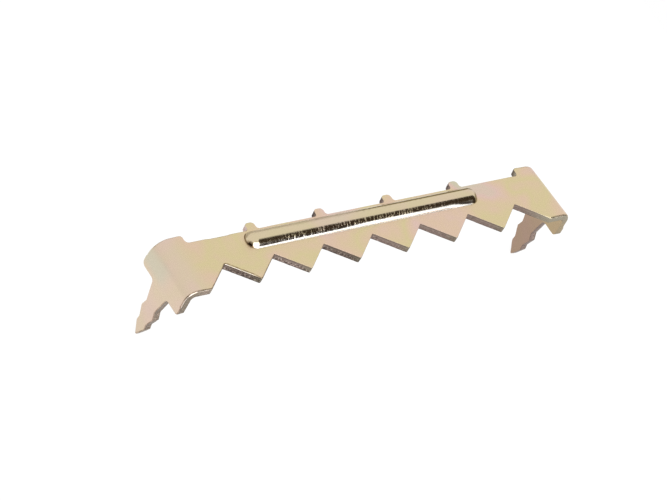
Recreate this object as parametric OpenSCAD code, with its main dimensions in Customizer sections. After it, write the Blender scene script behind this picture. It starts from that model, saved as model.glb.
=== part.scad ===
// Sawtooth picture hanger: one strip of sheet steel, stamped, ribbed and bent down at both ends.
// +X runs along the strap, -Y is the toothed edge and +Z is the outer face.
// The origin is midway between the two prongs, on the plane of the shoulders that seat on the frame.

/* [Sheet] */
// Thickness of the steel sheet
sheet_t = 1; // [0.6:0.05:1.4]
// Height of the outer face above the shoulders
strap_rise = 4.35; // [3.6:0.05:8]

/* [Teeth] */
// Distance from one tooth to the next
tooth_pitch = 8; // [6.6:0.1:12]
// Depth of the notches between the teeth
tooth_h = 3.35; // [2:0.05:3.8]
// Rounding of the tooth tips
tip_r = 0.25; // [0.1:0.05:0.6]
// Rounding of the notch bottoms, where the nail rests
notch_r = 0.3; // [0.1:0.05:0.6]

/* [Back edge] */
// How far the ears stand out behind the back edge of the strap
ear_step = 1.3; // [0.9:0.05:1.6]
// Flat length of an ear, up to where the bend starts
ear_land = 1.85; // [1:0.05:3]
// Rounding of the ear's free corner and of its foot
ear_r = 0.5; // [0.2:0.05:0.6]
// Distance from one nib to the next
nib_pitch = 11.2; // [6:0.1:14]
// How far the nibs stand out behind the back edge
nib_h = 1.15; // [0.9:0.05:2]
// Width of a nib
nib_w = 1.5; // [1:0.1:3]
// Rounding of a nib's two free corners
nib_tip_r = 0.55; // [0.1:0.05:0.65]
// Rounding where a nib grows out of the back edge
nib_foot_r = 0.4; // [0.1:0.05:0.6]

/* [Rib] */
// Overall length of the raised rib
rib_l = 38; // [16:0.1:44]
// Width of the rib where it leaves the sheet
rib_w = 2.7; // [2.2:0.05:3.4]
// Height of the rib above the sheet
rib_h = 1; // [0.5:0.05:1.3]
// Thickness of the sheet over the top of the rib, where it has stretched
rib_wall = 0.9; // [0.5:0.05:1.2]
// Width of the groove under the rib
groove_w = 1.3; // [0.6:0.05:1.6]
// Flat strip between the notch bottoms and the rib
rib_front_land = 1.3; // [0.6:0.05:4]
// Flat strip between the rib and the back edge
rib_back_land = 0.35; // [0.2:0.05:2]

/* [Ends] */
// Flat length between the corner of the end tooth and the bend
end_land = 1.25; // [0.3:0.05:4]
// Inner radius of the bends
bend_r = 1.5; // [0.5:0.05:2.2]
// Rounding of the shoulder's front corner
shoulder_front_r = 0.5; // [0.1:0.05:0.8]
// Rounding of the shoulder's back corner
shoulder_back_r = 0.8; // [0.2:0.05:0.9]

/* [Prongs] */
// How far the prongs lie in front of the strap's middle line
prong_shift = 0.1; // [0:0.05:0.4]
// Length of a prong below the shoulders
prong_l = 8.75; // [8:0.05:14]
// Width of the prong where it leaves the shoulders
root_w = 3.6; // [2.6:0.1:4.6]
// Rounding in the corner between prong and shoulder
root_r = 0.5; // [0.2:0.05:0.8]
// Width of the waist above the main barbs
waist_w = 2.25; // [1.6:0.05:2.6]
// How far the waist lies below the shoulders
waist_drop = 3.2; // [2.2:0.05:3.8]
// Width over the main barbs
barb_w = 2.95; // [2.2:0.05:4]
// How far the main barbs lie below the shoulders
barb_drop = 4.35; // [3.8:0.05:5.4]
// Width of the second waist, above the small barbs
neck_w = 1.8; // [1:0.05:2]
// How far the second waist lies below the shoulders
neck_drop = 5.95; // [5.2:0.05:6.6]
// Width over the small barbs
point_w = 2; // [1.2:0.05:2.4]
// How far the small barbs lie below the shoulders
point_drop = 6.75; // [6.65:0.05:7.6]
// Rounding of the barbs and waists
barb_r = 0.3; // [0.1:0.05:0.4]
// Rounding of the prong's point
point_r = 0.2; // [0.05:0.01:0.3]

/* [Hidden] */
$fn = 64;
tooth_count = 6;
nib_count = 4;
SIDES = ["left", "right"];
ZONES = ["end_pad", "bend", "shoulder", "prong"];

// Points on each rounded corner of an outline
arc_steps = 8;
// Share of an outline's edge that one rounded corner may use
corner_share = 0.49;
// How far a cut reaches past the solid that it cuts
overrun = 1;

// Lines across the strap, from the tooth tips to the back of the ears
end_w = tooth_h + rib_front_land + rib_w + rib_back_land + ear_step;
tip_y = -end_w / 2;
notch_y = tip_y + tooth_h;
back_y = end_w / 2 - ear_step;
ear_y = end_w / 2;
tooth_base_y = notch_y - notch_r;
nib_base_y = back_y + nib_foot_r;
rib_y = notch_y + rib_front_land + rib_w / 2;

// Places along the strap, from the middle outwards
end_notch_x = tooth_count * tooth_pitch / 2;
end_tooth_x = end_notch_x + tooth_pitch / 2;
flat_x = end_tooth_x + end_land;
ear_x = flat_x - ear_land;
flange_x = flat_x + bend_r;
rib_end_x = rib_l / 2 - rib_w / 2;
groove_r = groove_w / 2;

// Heights above the shoulders
sheet_z = strap_rise - sheet_t;
bend_z = sheet_z - bend_r;
rib_r = (pow(rib_w / 2, 2) + rib_h * rib_h) / (2 * rib_h);
rib_axis_z = strap_rise + rib_h - rib_r;
groove_axis_z = strap_rise + rib_h - rib_wall - groove_r;
prong_top_z = -root_r;

plate_color = [0.85, 0.76, 0.64];
tooth_color = [0.83, 0.77, 0.6];
rib_color = [0.8, 0.74, 0.56];
bend_color = [0.86, 0.75, 0.7];
flange_color = [0.72, 0.62, 0.5];

function unit(v) = v / norm(v);

// Points that round corner b, between its neighbours a and c, to radius r or as far as the edges allow
function corner_arc(a, b, c, r) =
    let (u = unit(a - b))
    let (v = unit(c - b))
    let (half = acos(u * v) / 2)
    let (reach = min(r / tan(half), corner_share * min(norm(a - b), norm(c - b))))
    let (radius = reach * tan(half))
    let (middle = b + unit(u + v) * reach / cos(half))
    let (from = b + u * reach - middle)
    let (to = b + v * reach - middle)
    let (turn = acos(min(1, max(-1, from * to / (radius * radius)))))
    [for (k = [0 : arc_steps])
        middle + (from * sin(turn * (1 - k / arc_steps)) + to * sin(turn * k / arc_steps)) / sin(turn)];

// An outline from corners [x, y, radius], where radius 0 leaves the corner sharp
function rounded(corners) =
    let (n = len(corners))
    let (at = [for (q = corners) [q[0], q[1]]])
    [for (i = [0 : n - 1])
        each (corners[i][2] > 0
            ? corner_arc(at[(i + n - 1) % n], at[i], at[(i + 1) % n], corners[i][2])
            : [at[i]])];

function notch_x(i) = i * tooth_pitch - end_notch_x;
function nib_x(i) = (i - (nib_count + 1) / 2) * nib_pitch;

// Toothed edge of the strap, from -X to +X
function front_corners() = concat(
    [[-flat_x, tip_y, 0], [-end_tooth_x, tip_y, tip_r]],
    [for (i = [0 : tooth_count]) each concat(
        [[notch_x(i), notch_y, notch_r]],
        i < tooth_count ? [[notch_x(i) + tooth_pitch / 2, tip_y, tip_r]] : [])],
    [[end_tooth_x, tip_y, tip_r], [flat_x, tip_y, 0]]
);

function nib_corners(x) = [
    [x + nib_w / 2, back_y, nib_foot_r],
    [x + nib_w / 2, back_y + nib_h, nib_tip_r],
    [x - nib_w / 2, back_y + nib_h, nib_tip_r],
    [x - nib_w / 2, back_y, nib_foot_r]
];

// Back edge with its ears and nibs, from +X to -X
function back_corners() = concat(
    [[flat_x, ear_y, 0], [ear_x, ear_y, ear_r], [ear_x, back_y, ear_r]],
    [for (i = [nib_count : -1 : 1]) each nib_corners(nib_x(i))],
    [[-ear_x, back_y, ear_r], [-ear_x, ear_y, ear_r], [-flat_x, ear_y, 0]]
);

// One side of the prong, from the shoulder to the point, as [half width, height, radius]
function prong_side() = [
    [root_w / 2, 0, root_r],
    [waist_w / 2, -waist_drop, barb_r],
    [barb_w / 2, -barb_drop, barb_r],
    [neck_w / 2, -neck_drop, barb_r],
    [point_w / 2, -point_drop, barb_r]
];

// Flange below the bend, seen along X: shoulders, prong and point
function flange_corners() =
    let (side = prong_side())
    concat(
        [[ear_y, bend_z, 0], [tip_y, bend_z, 0], [tip_y, 0, shoulder_front_r]],
        [for (q = side) [-prong_shift - q[0], q[1], q[2]]],
        [[-prong_shift, -prong_l, point_r]],
        [for (i = [len(side) - 1 : -1 : 0]) side[i] - [prong_shift, 0, 0]],
        [[ear_y, 0, shoulder_back_r]]
    );

// The flat of the strap with all its teeth, nibs and ears
module strap_sheet() {
    translate([0, 0, sheet_z])
        linear_extrude(sheet_t)
            polygon(rounded(concat(front_corners(), back_corners())));
}

// Block of the sheet's height between two places along and across the strap
module strap_zone(from, to) {
    translate([from.x, from.y, sheet_z - overrun])
        cube([to.x - from.x, to.y - from.y, sheet_t + 2 * overrun]);
}

// Upright stadium of the rib's length, from one height to another
module rib_stadium(radius, low, high) {
    translate([-rib_end_x, rib_y - radius, low])
        cube([2 * rib_end_x, 2 * radius, high - low]);
    for (x = [-rib_end_x, rib_end_x])
        translate([x, rib_y, low])
            cylinder(h = high - low, r = radius);
}

// Round bar with round ends along the rib
module rib_bar(radius, axis_z) {
    translate([-rib_end_x, rib_y, axis_z])
        rotate([0, 90, 0])
            cylinder(h = 2 * rib_end_x, r = radius);
    for (x = [-rib_end_x, rib_end_x])
        translate([x, rib_y, axis_z])
            sphere(r = radius);
}

module strap_web() {
    color(plate_color)
        difference() {
            intersection() {
                strap_sheet();
                strap_zone([-end_notch_x, tooth_base_y], [end_notch_x, nib_base_y]);
            }
            rib_stadium(rib_w / 2, sheet_z - overrun, strap_rise + overrun);
        }
}

module stiffening_rib() {
    color(rib_color)
        difference() {
            union() {
                rib_stadium(rib_w / 2, sheet_z, strap_rise);
                intersection() {
                    rib_bar(rib_r, rib_axis_z);
                    rib_stadium(rib_w / 2, strap_rise, strap_rise + rib_h + overrun);
                }
            }
            rib_stadium(groove_r, sheet_z - overrun, groove_axis_z);
            rib_bar(groove_r, groove_axis_z);
        }
}

module tooth(i) {
    color(tooth_color)
        intersection() {
            strap_sheet();
            strap_zone([notch_x(i - 1), tip_y - overrun], [notch_x(i), tooth_base_y]);
        }
}

module nib(i) {
    color(tooth_color)
        intersection() {
            strap_sheet();
            strap_zone([nib_x(i) - nib_w, nib_base_y], [nib_x(i) + nib_w, ear_y + nib_h]);
        }
}

module end_pad() {
    color(plate_color)
        intersection() {
            strap_sheet();
            strap_zone([end_notch_x, tip_y - overrun], [flat_x, ear_y + overrun]);
        }
}

module bend() {
    color(bend_color)
        translate([flat_x, 0, bend_z])
            rotate([90, 0, 0])
                rotate_extrude(angle = 90)
                    translate([bend_r, tip_y])
                        square([sheet_t, end_w]);
}

// Flange plate with its prong, between two heights
module flange(low, high) {
    intersection() {
        translate([flange_x, 0, 0])
            rotate([90, 0, 90])
                linear_extrude(sheet_t)
                    polygon(rounded(flange_corners()));
        translate([flange_x - overrun, tip_y - overrun, low])
            cube([sheet_t + 2 * overrun, end_w + 2 * overrun, high - low]);
    }
}

module shoulder() {
    color(flange_color)
        flange(prong_top_z, bend_z + overrun);
}

module prong() {
    color(flange_color)
        flange(-prong_l - overrun, prong_top_z);
}

// Puts an end piece, modelled at +X, on its own side
module on_side(side) {
    mirror([side == "left" ? 1 : 0, 0, 0])
        children();
}

strap_web();
stiffening_rib();
for (i = [1 : tooth_count])
    tooth(i);
for (i = [1 : nib_count])
    nib(i);
for (side = SIDES) {
    on_side(side) end_pad();
    on_side(side) bend();
    on_side(side) shoulder();
    on_side(side) prong();
}
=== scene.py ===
"""Looks of the sawtooth picture hanger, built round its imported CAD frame.

The hanger is one stamping, so its sheet is modelled the way a press makes it: a flat blank with rounded
corners, a die roll along the outer rim and torn edges, cut into the zones that the CAD nodes name, then
folded down at both ends. Lengths are in millimetres until a finished mesh is scaled to metres.
"""

import logging
import math
from collections.abc import Iterable, Sequence
from dataclasses import dataclass, field
from enum import Enum, IntEnum

import bmesh
import bpy
from mathutils import Matrix, Quaternion, Vector, kdtree, noise


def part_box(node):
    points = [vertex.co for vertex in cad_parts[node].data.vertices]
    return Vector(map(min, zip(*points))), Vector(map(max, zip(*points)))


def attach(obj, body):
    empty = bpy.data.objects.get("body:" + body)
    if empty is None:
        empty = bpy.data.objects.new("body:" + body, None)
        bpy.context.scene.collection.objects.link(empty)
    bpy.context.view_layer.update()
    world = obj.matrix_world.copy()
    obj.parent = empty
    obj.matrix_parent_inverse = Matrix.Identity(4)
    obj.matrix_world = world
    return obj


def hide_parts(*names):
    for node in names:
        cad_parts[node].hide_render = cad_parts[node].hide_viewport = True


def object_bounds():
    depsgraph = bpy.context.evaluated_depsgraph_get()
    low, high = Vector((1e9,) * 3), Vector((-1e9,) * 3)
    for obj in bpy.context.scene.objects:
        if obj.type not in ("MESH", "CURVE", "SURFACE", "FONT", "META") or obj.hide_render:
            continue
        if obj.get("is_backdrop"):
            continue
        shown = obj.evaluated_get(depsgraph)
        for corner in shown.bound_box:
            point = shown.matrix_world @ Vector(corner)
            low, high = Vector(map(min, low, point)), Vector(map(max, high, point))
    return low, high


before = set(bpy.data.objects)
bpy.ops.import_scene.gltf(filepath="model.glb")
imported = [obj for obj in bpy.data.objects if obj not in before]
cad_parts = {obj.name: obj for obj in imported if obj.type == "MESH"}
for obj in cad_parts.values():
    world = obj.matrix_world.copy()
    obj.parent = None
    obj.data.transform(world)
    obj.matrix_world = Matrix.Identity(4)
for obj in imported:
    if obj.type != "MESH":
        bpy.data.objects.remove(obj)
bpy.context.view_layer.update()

log = logging.getLogger("hanger")

MM = 0.001
BODY = "root"
TINY = 1e-4
AXIS_X = Vector((1.0, 0.0, 0.0))
AXIS_Y = Vector((0.0, 1.0, 0.0))
AXIS_Z = Vector((0.0, 0.0, 1.0))

FULL_RANGE = (0.0, 1.0)
NOISE_MEAN = 0.5
LAMP_WATTS = 4.0
DEEP_BLACK = (0.045, 0.032, 0.022)

Colour = tuple[float, float, float]
Triple = tuple[float, float, float]
Limits = tuple[float, float]
Socket = bpy.types.NodeSocket


class Side(Enum):
    """The two ends of the strap, with the sign of their X."""

    LEFT = -1
    RIGHT = 1


class Zone(IntEnum):
    """What the press left on a face of the sheet."""

    PLATE = 0
    ROLL = 1
    SHEARED = 2
    JOIN = 3


class Slot(Enum):
    """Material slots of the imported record."""

    PLATE = "zinc_plate"
    RIB = "burnished_rib"


@dataclass(frozen=True)
class Corner:
    """A corner of the blank's outline and the radius that rounds it."""

    x: float
    y: float
    radius: float


@dataclass(frozen=True)
class ProngStep:
    """A place on the prong's side, as half width and distance below the shoulders."""

    half_width: float
    drop: float
    radius: float


@dataclass(frozen=True)
class Cut:
    """A plane through a point. What lies on the side that away points to is removed."""

    point: Vector
    away: Vector


@dataclass(frozen=True)
class Grain:
    """One layer of a torn edge's roughness, with its scales along the edge and through the sheet."""

    share: float
    along: float
    through: float
    seed: float

    def at(self, run: float, depth: float) -> float:
        """Gives the layer's height at a place along the edge and a depth in the sheet."""
        return self.share * noise.noise(Vector((run * self.along, depth * self.through, self.seed)))


def unit(value: float) -> float:
    """Holds a value between 0 and 1."""
    return min(max(value, 0.0), 1.0)


def past(place: float, limits: Limits) -> Limits:
    """Shifts a pair of limits to a place."""
    return place + limits[0], place + limits[1]


def box_mm(node: str) -> tuple[Vector, Vector]:
    """Gives a CAD node's box in millimetres.

    Args:
        node: Name of the CAD node.

    Returns:
        Lowest and highest corner.
    """
    low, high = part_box(node)
    return low / MM, high / MM


def span(axis: Vector, low: float, high: float) -> list[Cut]:
    """Gives the two cuts that keep what lies between two places on an axis.

    Args:
        axis: Unit vector of the axis.
        low: Lower place.
        high: Higher place.

    Returns:
        The cut at each place.
    """
    return [Cut(axis * low, -axis), Cut(axis * high, axis)]


def everything(bm: bmesh.types.BMesh) -> list:
    """Gives all of a mesh's elements, as bisect_plane takes them."""
    return bm.verts[:] + bm.edges[:] + bm.faces[:]


def slice_at(bm: bmesh.types.BMesh, point: Vector, normal: Vector) -> None:
    """Cuts new edges into a mesh where a plane crosses it.

    Args:
        bm: Mesh to cut.
        point: Point on the plane.
        normal: Normal of the plane.
    """
    bmesh.ops.bisect_plane(bm, geom=everything(bm), dist=TINY, plane_co=point, plane_no=normal)


def last_verts(result: dict) -> list[bmesh.types.BMVert]:
    """Gives the vertices at the end of a spin."""
    return [g for g in result["geom_last"] if isinstance(g, bmesh.types.BMVert)]


@dataclass
class SheetBlank:
    """The flat blank of the whole hanger, before it is folded.

    Places along the strap are measured from the middle outwards, heights from the shoulders.
    """

    thickness: float
    top_z: float
    tip_y: float
    ear_y: float
    tooth_base_y: float
    nib_base_y: float
    nib_top_y: float
    nib_xs: tuple[float, ...]
    tooth_pitch: float
    web_x: float
    flat_x: float
    bend_outer_r: float
    bend_z: float
    prong_top_z: float
    tooth_count: int = 6
    tooth_h: float = 3.35
    tip_r: float = 0.25
    notch_r: float = 0.3
    ear_step: float = 1.3
    ear_land: float = 1.85
    ear_r: float = 0.5
    nib_w: float = 1.5
    nib_tip_r: float = 0.55
    nib_foot_r: float = 0.4
    end_land: float = 1.25
    shoulder_front_r: float = 0.5
    shoulder_back_r: float = 0.8
    prong_l: float = 8.75
    prong_shift: float = 0.1
    point_r: float = 0.2
    prong_side: tuple[ProngStep, ...] = (
        ProngStep(1.8, 0.0, 0.5),
        ProngStep(1.125, 3.2, 0.3),
        ProngStep(1.475, 4.35, 0.3),
        ProngStep(0.9, 5.95, 0.3),
        ProngStep(1.0, 6.75, 0.3),
    )
    die_roll: float = 0.18
    fine_roll: float = 0.4
    drawn_roll: float = 1.8
    drawn_lead: float = 3.0
    drawn_run: float = 2.5
    drawn_past: float = 0.4
    worn_x: Limits = (-18.0, -14.0)
    burr_x: Limits = (-24.4, -20.4)
    burr_rise: float = 0.6
    burr_fall: float = 0.5
    burr_lead: float = 2.2
    roll_segments: int = 5
    arc_step: float = math.radians(6)
    arc_least: int = 4
    wall_step: float = 0.22
    wall_rows: tuple[float, ...] = (0.34, 0.56, 0.8)
    tear_start: float = 0.3
    tear_lean: float = 0.035
    tear_rough: float = 0.03
    tear_grains: tuple[Grain, ...] = (Grain(1.0, 2.1, 3.0, 0.7), Grain(0.6, 5.3, 4.0, 3.1))
    flat_normal: float = 0.5
    bend_steps: int = 40
    bend_front_r: float = 0.6
    mesh: bmesh.types.BMesh = field(init=False, repr=False)

    @classmethod
    def from_frame(cls, nib_count: int = 4) -> "SheetBlank":
        """Reads the blank's main sizes from the boxes of the CAD nodes.

        Args:
            nib_count: Number of nibs on the back edge.

        Returns:
            The blank, with no mesh yet.
        """
        web_low, web_high = box_mm("strap_web")
        pad_low, pad_high = box_mm("right_end_pad")
        bend_low, bend_high = box_mm("right_bend")
        tooth_low, tooth_high = box_mm("tooth_1")
        nibs = [box_mm(f"nib_{i}") for i in range(1, nib_count + 1)]
        return cls(
            thickness=web_high.z - web_low.z,
            top_z=web_high.z,
            tip_y=pad_low.y,
            ear_y=pad_high.y,
            tooth_base_y=tooth_high.y,
            nib_base_y=nibs[0][0].y,
            nib_top_y=nibs[0][1].y,
            nib_xs=tuple((low.x + high.x) / 2 for low, high in nibs),
            tooth_pitch=box_mm("tooth_2")[0].x - tooth_low.x,
            web_x=web_high.x,
            flat_x=bend_low.x,
            bend_outer_r=bend_high.x - bend_low.x,
            bend_z=bend_low.z,
            prong_top_z=box_mm("right_prong")[1].z,
        )

    @property
    def bottom_z(self) -> float:
        """Height of the inner face."""
        return self.top_z - self.thickness

    @property
    def bend_inner_r(self) -> float:
        """Radius on the inside of a bend."""
        return self.bend_outer_r - self.thickness

    @property
    def bend_length(self) -> float:
        """Length of a bend in the flat blank, along the middle of the sheet."""
        return (self.bend_inner_r + self.thickness / 2) * math.pi / 2

    @property
    def back_y(self) -> float:
        """Back edge between the nibs."""
        return self.ear_y - self.ear_step

    def unfolded_x(self, height: float) -> float:
        """Gives where a height on the flange lies in the flat blank.

        Args:
            height: Height above the shoulders.

        Returns:
            Distance from the middle of the strap.
        """
        return self.flat_x + self.bend_length + self.bend_z - height

    def front_corners(self) -> list[Corner]:
        """Gives the toothed edge, from -X to +X."""
        end_tooth_x = self.flat_x - self.end_land
        corners = [Corner(-end_tooth_x, self.tip_y, self.tip_r)]
        for i in range(self.tooth_count + 1):
            x = i * self.tooth_pitch - self.web_x
            corners.append(Corner(x, self.tip_y + self.tooth_h, self.notch_r))
            if i < self.tooth_count:
                corners.append(Corner(x + self.tooth_pitch / 2, self.tip_y, self.tip_r))
        corners.append(Corner(end_tooth_x, self.tip_y, self.tip_r))
        return corners

    def back_corners(self) -> list[Corner]:
        """Gives the back edge with its ears and nibs, from +X to -X."""
        ear_x = self.flat_x - self.ear_land
        half = self.nib_w / 2
        corners = [Corner(ear_x, self.ear_y, self.ear_r), Corner(ear_x, self.back_y, self.ear_r)]
        for x in sorted(self.nib_xs, reverse=True):
            corners += [
                Corner(x + half, self.back_y, self.nib_foot_r),
                Corner(x + half, self.nib_top_y, self.nib_tip_r),
                Corner(x - half, self.nib_top_y, self.nib_tip_r),
                Corner(x - half, self.back_y, self.nib_foot_r),
            ]
        corners += [Corner(-ear_x, self.back_y, self.ear_r), Corner(-ear_x, self.ear_y, self.ear_r)]
        return corners

    def flange_corners(self, side: Side) -> list[Corner]:
        """Gives one flange with its prong, in the order of the whole outline.

        Args:
            side: Which end of the strap.

        Returns:
            Corners from front to back at +X, and from back to front at -X.
        """
        sign = side.value
        foot_x = sign * self.unfolded_x(0)
        steps = [(sign * self.unfolded_x(-s.drop), s) for s in self.prong_side]
        corners = [Corner(foot_x, self.tip_y, self.shoulder_front_r)]
        middle = -self.prong_shift
        corners += [Corner(x, middle - s.half_width, s.radius) for x, s in steps]
        corners.append(Corner(sign * self.unfolded_x(-self.prong_l), middle, self.point_r))
        corners += [Corner(x, middle + s.half_width, s.radius) for x, s in reversed(steps)]
        corners.append(Corner(foot_x, self.ear_y, self.shoulder_back_r))
        return corners if side is Side.RIGHT else corners[::-1]

    def corners(self) -> list[Corner]:
        """Gives the whole outline, anticlockwise seen from outside."""
        return (
            self.front_corners()
            + self.flange_corners(Side.RIGHT)
            + self.back_corners()
            + self.flange_corners(Side.LEFT)
        )

    def build(self, slot: "Rib") -> None:
        """Makes the blank's mesh.

        Args:
            slot: The rib, whose outline is left open in the blank.
        """
        self.mesh = bmesh.new()
        outline = self._press_outline()
        tree = kdtree.KDTree(len(outline))
        for i, point in enumerate(outline):
            tree.insert(point, i)
        tree.balance()
        self._give_thickness()
        rolled = self._roll_rim()
        self._ease_roll(tree)
        self._open_slot(slot)
        self._mark_zones(rolled)
        self._tear_edges(outline, tree)
        self._slice_bends()

    def _press_outline(self) -> list[Vector]:
        """Draws the rounded outline as one face on the outer face's plane.

        Returns:
            Points of the outline in order, from the middle of the back edge.
        """
        bm = self.mesh
        corners = self.corners()
        points = [Vector((c.x, c.y, self.top_z)) for c in corners]
        verts = [bm.verts.new(p) for p in points]
        bm.faces.new(verts)
        for i, corner in enumerate(corners):
            before = (points[i - 1] - points[i]).normalized()
            after = (points[(i + 1) % len(points)] - points[i]).normalized()
            turn = math.pi - before.angle(after)
            bmesh.ops.bevel(
                bm,
                geom=[verts[i]],
                offset=corner.radius * math.tan(turn / 2),
                offset_type="OFFSET",
                segments=max(self.arc_least, round(turn / self.arc_step)),
                profile=0.5,
                affect="VERTICES",
                material=-1,
            )
        bmesh.ops.delete(bm, geom=bm.faces[:], context="FACES_ONLY")
        for edge in bm.edges[:]:
            cuts = math.ceil(edge.calc_length() / self.wall_step) - 1
            if cuts > 0:
                bmesh.ops.subdivide_edges(bm, edges=[edge], cuts=cuts)
        bmesh.ops.edgeloop_fill(bm, edges=bm.edges[:])
        bmesh.ops.recalc_face_normals(bm, faces=bm.faces[:])
        loop = [v.co.copy() for v in bm.faces[:][0].verts]
        start = min(range(len(loop)), key=lambda i: abs(loop[i].x) + abs(loop[i].y - self.back_y))
        return loop[start:] + loop[:start]

    def _give_thickness(self) -> None:
        """Extrudes the outline to the sheet's thickness and divides its wall into rows."""
        bm = self.mesh
        made = bmesh.ops.extrude_face_region(bm, geom=bm.faces[:])
        lower = [g for g in made["geom"] if isinstance(g, bmesh.types.BMVert)]
        bmesh.ops.translate(bm, verts=lower, vec=-AXIS_Z * self.thickness)
        for depth in self.wall_rows:
            slice_at(bm, AXIS_Z * (self.top_z - depth * self.thickness), AXIS_Z)
        bmesh.ops.recalc_face_normals(bm, faces=bm.faces[:])

    def _roll_rim(self) -> set[bmesh.types.BMFace]:
        """Rounds the rim of the outer face, where the die drew the metal down.

        Returns:
            The rounded faces.
        """
        bm = self.mesh
        rim = [e for e in bm.edges if all(abs(v.co.z - self.top_z) < TINY for v in e.verts)]
        made = bmesh.ops.bevel(
            bm,
            geom=rim,
            offset=self.die_roll,
            offset_type="OFFSET",
            segments=self.roll_segments,
            profile=0.5,
            affect="EDGES",
            clamp_overlap=False,
            material=-1,
        )
        return set(made["faces"])

    def _ease_roll(self, tree: kdtree.KDTree) -> None:
        """Gives the die roll its own size at each place along the strap.

        Args:
            tree: Points of the outline.
        """
        for vert in self.mesh.verts:
            if vert.co.z >= self.top_z - self.die_roll - TINY:
                point, _, _ = tree.find(Vector((vert.co.x, vert.co.y, self.top_z)))
                vert.co = point + (vert.co - point) * self._roll_share(point.x)

    def _roll_share(self, x: float) -> float:
        """Gives the size of the die roll, which is wide where the die was worn and at the drawn bends.

        Args:
            x: Place along the flat blank.

        Returns:
            The size as a share of die_roll.
        """
        start, stop = self.worn_x
        share = 1.0 + (self.fine_roll - 1.0) * unit((x - start) / (stop - start))
        wide = 0.0
        if abs(x) < self.flat_x + self.bend_length + self.drawn_past:
            lead = self.drawn_lead if x > 0 else self.burr_lead
            wide = unit((abs(x) - self.flat_x + lead) / self.drawn_run)
        start, stop = self.burr_x
        flank = unit(min((x - start) / self.burr_rise, (stop - x) / self.burr_fall))
        return share + max(wide, flank) * (self.drawn_roll - share)

    def _open_slot(self, slot: "Rib") -> None:
        """Opens the outer and the inner face where the rib rises from the sheet.

        Each face is parted from the two ends first, so that only its middle is filled round the opening.

        Args:
            slot: The rib that fills the opening.
        """
        bm = self.mesh
        rings = []
        for level in (self.top_z, self.bottom_z):
            for x in (-self.web_x, self.web_x):
                cap = self._cap(level)
                geom = [cap, *cap.edges, *cap.verts]
                bmesh.ops.bisect_plane(bm, geom=geom, dist=TINY, plane_co=AXIS_X * x, plane_no=AXIS_X)
            cap = self._cap(level)
            rim = list(cap.edges)
            bmesh.ops.delete(bm, geom=[cap], context="FACES_ONLY")
            ring = slot.outline(bm, level)
            bmesh.ops.triangle_fill(bm, edges=rim + ring, use_beauty=True, normal=AXIS_Z)
            rings += ring
        bmesh.ops.bridge_loops(bm, edges=rings)
        bmesh.ops.recalc_face_normals(bm, faces=bm.faces[:])

    def _cap(self, level: float) -> bmesh.types.BMFace:
        """Gives the largest face at one height."""
        flat = [f for f in self.mesh.faces if all(abs(v.co.z - level) < TINY for v in f.verts)]
        return max(flat, key=lambda face: face.calc_area())

    def _mark_zones(self, rolled: set[bmesh.types.BMFace]) -> None:
        """Notes on each face which zone of the stamping it is.

        Args:
            rolled: Faces of the die roll.
        """
        bm = self.mesh
        zone = bm.faces.layers.int.new("zone")
        bm.normal_update()
        for face in bm.faces:
            if face in rolled:
                face[zone] = Zone.ROLL
            elif abs(face.normal.z) > self.flat_normal:
                face[zone] = Zone.PLATE
            else:
                face[zone] = Zone.SHEARED

    def _tear_edges(self, outline: Sequence[Vector], tree: kdtree.KDTree) -> None:
        """Leans and roughens the lower part of the cut edge, where the sheet tore instead of shearing.

        It also keeps each point's depth in the sheet and its place along the outline for the finishes.

        Args:
            outline: Points of the outline in order.
            tree: The same points.
        """
        bm = self.mesh
        depth_layer = bm.verts.layers.float.new("depth")
        run_layer = bm.verts.layers.float.new("run")
        zone = bm.faces.layers.int["zone"]
        runs = [0.0]
        for i, point in enumerate(outline):
            runs.append(runs[-1] + (outline[(i + 1) % len(outline)] - point).length)
        moves = []
        for vert in bm.verts:
            _, nearest, distance = tree.find(Vector((vert.co.x, vert.co.y, self.top_z)))
            depth = (self.top_z - vert.co.z) / self.thickness
            vert[depth_layer] = depth
            vert[run_layer] = runs[nearest]
            walls = [f.normal for f in vert.link_faces if f[zone] == Zone.SHEARED]
            if depth > self.tear_start and walls and distance < self.die_roll:
                out = sum(walls, Vector()).normalized()
                torn = (depth - self.tear_start) / (1 - self.tear_start)
                grain = sum(layer.at(runs[nearest], depth) for layer in self.tear_grains)
                moves.append((vert, out * (self.tear_rough * grain - self.tear_lean * torn)))
        for vert, move in moves:
            vert.co += move

    def _slice_bends(self) -> None:
        """Cuts the edges across the two bends that let them fold smoothly."""
        for side in Side:
            for k in range(1, self.bend_steps):
                x = self.flat_x + self.bend_length * k / self.bend_steps
                slice_at(self.mesh, AXIS_X * side.value * x, AXIS_X)

    def cut_out(self, cuts: Iterable[Cut]) -> bmesh.types.BMesh:
        """Copies the blank and keeps one zone of it, closed where it is cut.

        Args:
            cuts: Planes that bound the zone.

        Returns:
            A new flat mesh.
        """
        piece = self.mesh.copy()
        zone = piece.faces.layers.int["zone"]
        for cut in cuts:
            bmesh.ops.bisect_plane(
                piece,
                geom=everything(piece),
                dist=TINY,
                plane_co=cut.point,
                plane_no=cut.away,
                clear_outer=True,
            )
            rims = [e for e in piece.edges if e.is_boundary]
            for face in bmesh.ops.holes_fill(piece, edges=rims, sides=0)["faces"]:
                face[zone] = Zone.JOIN
        return piece

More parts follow.
